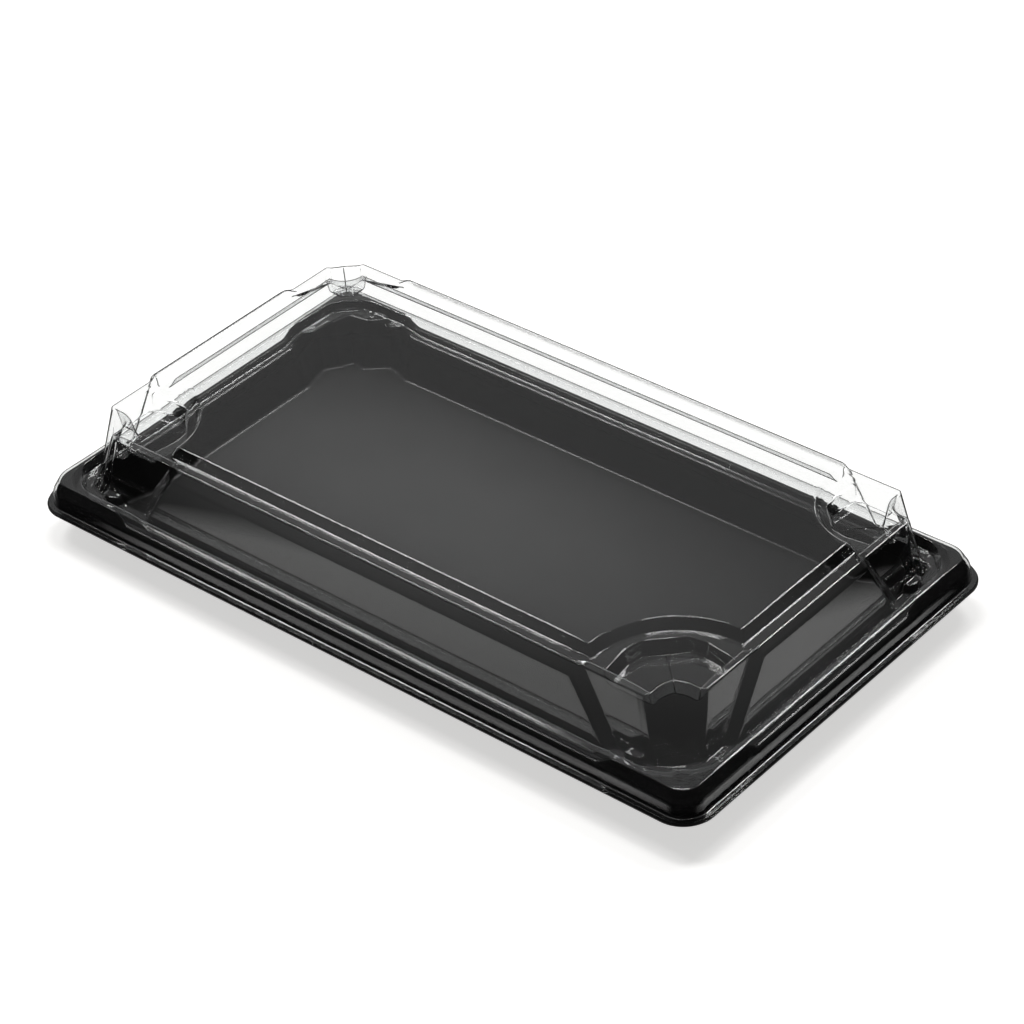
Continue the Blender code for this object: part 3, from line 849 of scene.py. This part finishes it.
class LidSettings(bpy.types.PropertyGroup):
    """Sizes and finish of the clear lid."""

    thickness: bpy.props.FloatProperty(
        name="Sheet Thickness", description="Thickness of the formed clear sheet",
        default=0.28 * MM, min=0.1 * MM, max=0.4 * MM, subtype="DISTANCE", unit="LENGTH",
        precision=5)
    fillet: bpy.props.FloatProperty(
        name="Fillet Scale", description="Multiplies the reach of every fillet",
        default=1.0, min=0.0, max=2.0)
    colour: bpy.props.FloatVectorProperty(
        name="Colour", description="Tint of the clear plastic", subtype="COLOR", size=3,
        default=(0.985, 0.99, 0.99), min=0.0, max=1.0)
    shade: bpy.props.FloatVectorProperty(
        name="Shadow Tint", description="Share of lamp light that passes one face of the sheet",
        subtype="COLOR", size=3, default=(0.996, 0.996, 0.996), min=0.0, max=1.0)
    ior: bpy.props.FloatProperty(
        name="IOR", description="Index of refraction of the clear plastic",
        default=1.43, min=1.0, max=2.0)
    unevenness: bpy.props.FloatProperty(
        name="Unevenness", description="Strength of the slow waves in the sheet",
        default=0.015, min=0.0, max=1.0, subtype="FACTOR")


class StageSettings(bpy.types.PropertyGroup):
    """Floor, lights and camera."""

    floor_colour: bpy.props.FloatVectorProperty(
        name="Floor Colour", description="Colour of the plain floor", subtype="COLOR", size=3,
        default=(0.9, 0.895, 0.885), min=0.0, max=1.0)
    floor_size: bpy.props.FloatProperty(
        name="Floor Size", description="Side of the square floor", default=8.0, min=1.0,
        max=20.0, subtype="DISTANCE", unit="LENGTH")
    floor_glow: bpy.props.FloatProperty(
        name="Floor Glow", description="Light given by the lit floor itself", default=0.68,
        min=0.0, max=5.0)
    near_dimming: bpy.props.FloatProperty(
        name="Near Dimming", description="How much darker the lit floor shows in reflections",
        default=0.45, min=0.0, max=1.0, subtype="FACTOR")
    key_power: bpy.props.FloatProperty(
        name="Key Power", description="Power of a whole softbox", default=3.9,
        min=0.0, max=1000.0, subtype="POWER", unit="POWER")
    sky_near: bpy.props.FloatProperty(
        name="Near Sky", description="Brightness of the studio behind the camera",
        default=0.02, min=0.0, max=5.0)
    sky_far: bpy.props.FloatProperty(
        name="Far Sky", description="Brightness of the studio beyond the object",
        default=0.3, min=0.0, max=5.0)
    azimuth: bpy.props.FloatProperty(
        name="Camera Azimuth", description="Turn of the camera round the object",
        default=math.radians(42.17), subtype="ANGLE", unit="ROTATION")
    elevation: bpy.props.FloatProperty(
        name="Camera Elevation", description="Height of the camera above the horizon",
        default=math.radians(36.18), subtype="ANGLE", unit="ROTATION")
    roll: bpy.props.FloatProperty(
        name="Camera Roll", description="Turn of the camera about its own axis",
        default=math.radians(3.5), subtype="ANGLE", unit="ROTATION")
    lens: bpy.props.FloatProperty(
        name="Lens", description="Focal length for a sensor 36 mm wide", default=124.5,
        min=20.0, max=300.0)


class SUSHITRAY_OT_build_tray(bpy.types.Operator):
    """Build the black tray with its rim, ledge, fluted corners and grained floor"""

    bl_idname = "sushitray.build_tray"
    bl_label = "Build Tray"
    bl_options = {"REGISTER", "UNDO"}

    def execute(self, context):
        settings = context.scene.sushi_tray
        grid = full_rings(tray_half, list(TRAY_RINGS), LID_CORNERS)
        grid = softened(grid, [settings.fillet * reach for reach in TRAY_RINGS.values()])
        sheet_piece("black_tray", "tray", grid, settings.thickness,
                    black_plastic(settings))
        return {"FINISHED"}


class SUSHITRAY_OT_build_lid(bpy.types.Operator):
    """Build the clear lid with its grooves, ridge, corner notches and release nubs"""

    bl_idname = "sushitray.build_lid"
    bl_label = "Build Lid"
    bl_options = {"REGISTER", "UNDO"}

    def execute(self, context):
        settings = context.scene.sushi_lid
        grid = full_rings(lid_half, list(LID_RINGS), LID_CORNERS)
        grid = softened(grid, [settings.fillet * reach for reach in LID_RINGS.values()])
        sheet_piece("clear_lid", "lid", grid, settings.thickness,
                    clear_plastic(settings))
        return {"FINISHED"}


def stage_floor(settings):
    """Plain pale floor under the tray."""
    half = settings.floor_size / 2
    mesh = bpy.data.meshes.new("Stage floor")
    mesh.from_pydata([(-half, -half, 0), (half, -half, 0), (half, half, 0), (-half, half, 0)],
                     [], [(0, 1, 2, 3)])
    floor = bpy.data.objects.new("stage_floor", mesh)
    made, tree, shader, _ = new_material("Stage floor")
    shader.inputs["Base Color"].default_value = (*settings.floor_colour, 1.0)
    shader.inputs["Roughness"].default_value = 0.9
    shader.inputs["Specular IOR Level"].default_value = 0.1
    shader.inputs["Emission Color"].default_value = (*settings.floor_colour, 1.0)
    shader.inputs["Emission Strength"].default_value = settings.floor_glow
    tree.links.new(lit_area(tree, settings), tree.nodes["Material Output"].inputs["Surface"])
    mesh.materials.append(made)
    bpy.context.scene.collection.objects.link(floor)
    floor.location.z = -0.2 * MM


def lit_area(tree, settings):
    """The floor's shader, dark in reflections beyond the lit area round the object."""
    place = tree.nodes.new("ShaderNodeTexCoord").outputs["Object"]
    scaled = tree.nodes.new("ShaderNodeVectorMath")
    scaled.operation = "MULTIPLY"
    scaled.inputs[1].default_value = (1000.0 / LIT_REACH[0], 1000.0 / LIT_REACH[1], 0.0)
    tree.links.new(place, scaled.inputs[0])
    length = tree.nodes.new("ShaderNodeVectorMath")
    length.operation = "LENGTH"
    tree.links.new(scaled.outputs["Vector"], length.inputs[0])
    fade = tree.nodes.new("ShaderNodeMapRange")
    fade.inputs["From Min"].default_value = 0.92
    fade.inputs["From Max"].default_value = 1.02
    fade.inputs["To Min"].default_value = settings.near_dimming
    fade.inputs["To Max"].default_value = 1.0
    tree.links.new(length.outputs["Value"], fade.inputs["Value"])
    path = tree.nodes.new("ShaderNodeLightPath")
    mirrored = math_node(tree, "MINIMUM", path.outputs["Glossy Depth"], 1.0)
    share = math_node(tree, "MULTIPLY", mirrored, fade.outputs["Result"])
    dark = tree.nodes.new("ShaderNodeBsdfDiffuse")
    dark.inputs["Color"].default_value = (0.01, 0.01, 0.01, 1.0)
    mix = tree.nodes.new("ShaderNodeMixShader")
    tree.links.new(share, mix.inputs["Fac"])
    tree.links.new(tree.nodes["Principled BSDF"].outputs["BSDF"], mix.inputs[1])
    tree.links.new(dark.outputs["BSDF"], mix.inputs[2])
    return mix.outputs["Shader"]


def studio_sky(settings):
    """Dim studio round the object, lighter on the far side than behind the camera."""
    world = bpy.data.worlds.new("Studio")
    bpy.context.scene.world = world
    world.use_nodes = True
    tree = world.node_tree
    background = tree.nodes["Background"]
    background.inputs["Color"].default_value = (1.0, 1.0, 1.0, 1.0)
    direction = tree.nodes.new("ShaderNodeTexCoord").outputs["Generated"]
    facing = tree.nodes.new("ShaderNodeVectorMath")
    facing.operation = "DOT_PRODUCT"
    facing.inputs[1].default_value = toward(SKY_AZIMUTH, SKY_ELEVATION)
    tree.links.new(direction, facing.inputs[0])
    rise = tree.nodes.new("ShaderNodeMapRange")
    rise.interpolation_type = "SMOOTHSTEP"
    rise.inputs["From Min"].default_value = 0.3
    rise.inputs["From Max"].default_value = 0.92
    rise.inputs["To Min"].default_value = settings.sky_near
    rise.inputs["To Max"].default_value = settings.sky_far
    tree.links.new(facing.outputs["Value"], rise.inputs["Value"])
    tree.links.new(rise.outputs["Result"], background.inputs["Strength"])


def toward(azimuth, elevation):
    """Direction from the object at this azimuth and elevation in degrees; 0 is -Y, 90 is +X."""
    turn, rise = math.radians(azimuth), math.radians(elevation)
    return Vector((math.sin(turn) * math.cos(rise), -math.cos(turn) * math.cos(rise),
                   math.sin(rise)))


def softbox(name, azimuth, elevation, distance, size, power):
    """Rectangular soft light aimed at the object."""
    lamp = bpy.data.lights.new(name, "AREA")
    lamp.shape = "RECTANGLE"
    lamp.size, lamp.size_y = size
    lamp.energy = power
    light = bpy.data.objects.new(name, lamp)
    away = toward(azimuth, elevation)
    light.location = away * distance
    light.rotation_euler = away.to_track_quat("Z", "Y").to_euler()
    bpy.context.scene.collection.objects.link(light)
    return light


class SUSHITRAY_OT_build_stage(bpy.types.Operator):
    """Build the plain floor, the soft studio light and the camera"""

    bl_idname = "sushitray.build_stage"
    bl_label = "Build Stage"
    bl_options = {"REGISTER", "UNDO"}

    def execute(self, context):
        settings = context.scene.sushi_stage
        stage_floor(settings)
        studio_sky(settings)
        for name, azimuth, elevation, distance, size, share in SOFTBOXES:
            softbox(name, azimuth, elevation, distance, size, share * settings.key_power)
        context.scene.view_settings.view_transform = "Standard"
        data = bpy.data.cameras.new("Camera")
        data.lens = settings.lens
        data.sensor_width = 36.0
        data.clip_start, data.clip_end = 0.05, 50.0
        camera = bpy.data.objects.new("Camera", data)
        turn, rise = settings.azimuth, settings.elevation
        back = Vector((math.sin(turn) * math.cos(rise), -math.cos(turn) * math.cos(rise),
                       math.sin(rise)))
        level = Vector((0, 0, 1)).cross(back).normalized()
        upright = back.cross(level)
        turned = math.cos(settings.roll), math.sin(settings.roll)
        right = turned[0] * level - turned[1] * upright
        up = turned[1] * level + turned[0] * upright
        place = Vector(AIM) * MM + (-AIM_SIDE * right + AIM_RISE * up + CAMERA_AWAY * back) * MM
        camera.matrix_world = Matrix.Translation(place) @ Matrix((right, up, back)).transposed().to_4x4()
        context.scene.collection.objects.link(camera)
        context.scene.camera = camera
        return {"FINISHED"}


class SUSHITRAY_PT_panel(bpy.types.Panel):
    """Sidebar panel with the builders and their settings"""

    bl_idname = "SUSHITRAY_PT_panel"
    bl_label = "Sushi Tray"
    bl_space_type = "VIEW_3D"
    bl_region_type = "UI"
    bl_category = "Sushi Tray"

    def draw(self, context):
        for operator, group in BUILDERS:
            box = self.layout.box()
            settings = getattr(context.scene, group)
            for name in settings.__annotations__:
                box.prop(settings, name)
            box.operator(operator)


BUILDERS = (
    ("sushitray.build_tray", "sushi_tray"),
    ("sushitray.build_lid", "sushi_lid"),
    ("sushitray.build_stage", "sushi_stage"),
)
GROUPS = {"sushi_tray": TraySettings, "sushi_lid": LidSettings, "sushi_stage": StageSettings}
CLASSES = (
    TraySettings, LidSettings, StageSettings, SUSHITRAY_OT_build_tray,
    SUSHITRAY_OT_build_lid, SUSHITRAY_OT_build_stage, SUSHITRAY_PT_panel,
)


def register():
    """Register the classes and their settings."""
    for cls in CLASSES:
        bpy.utils.register_class(cls)
    for name, group in GROUPS.items():
        setattr(bpy.types.Scene, name, bpy.props.PointerProperty(type=group))


def unregister():
    """Remove the settings and the classes."""
    for name in GROUPS:
        delattr(bpy.types.Scene, name)
    for cls in reversed(CLASSES):
        bpy.utils.unregister_class(cls)


def main():
    """Build everything."""
    register()
    bpy.ops.sushitray.build_tray()
    bpy.ops.sushitray.build_lid()
    bpy.ops.sushitray.build_stage()


if __name__ == "__main__":
    main()
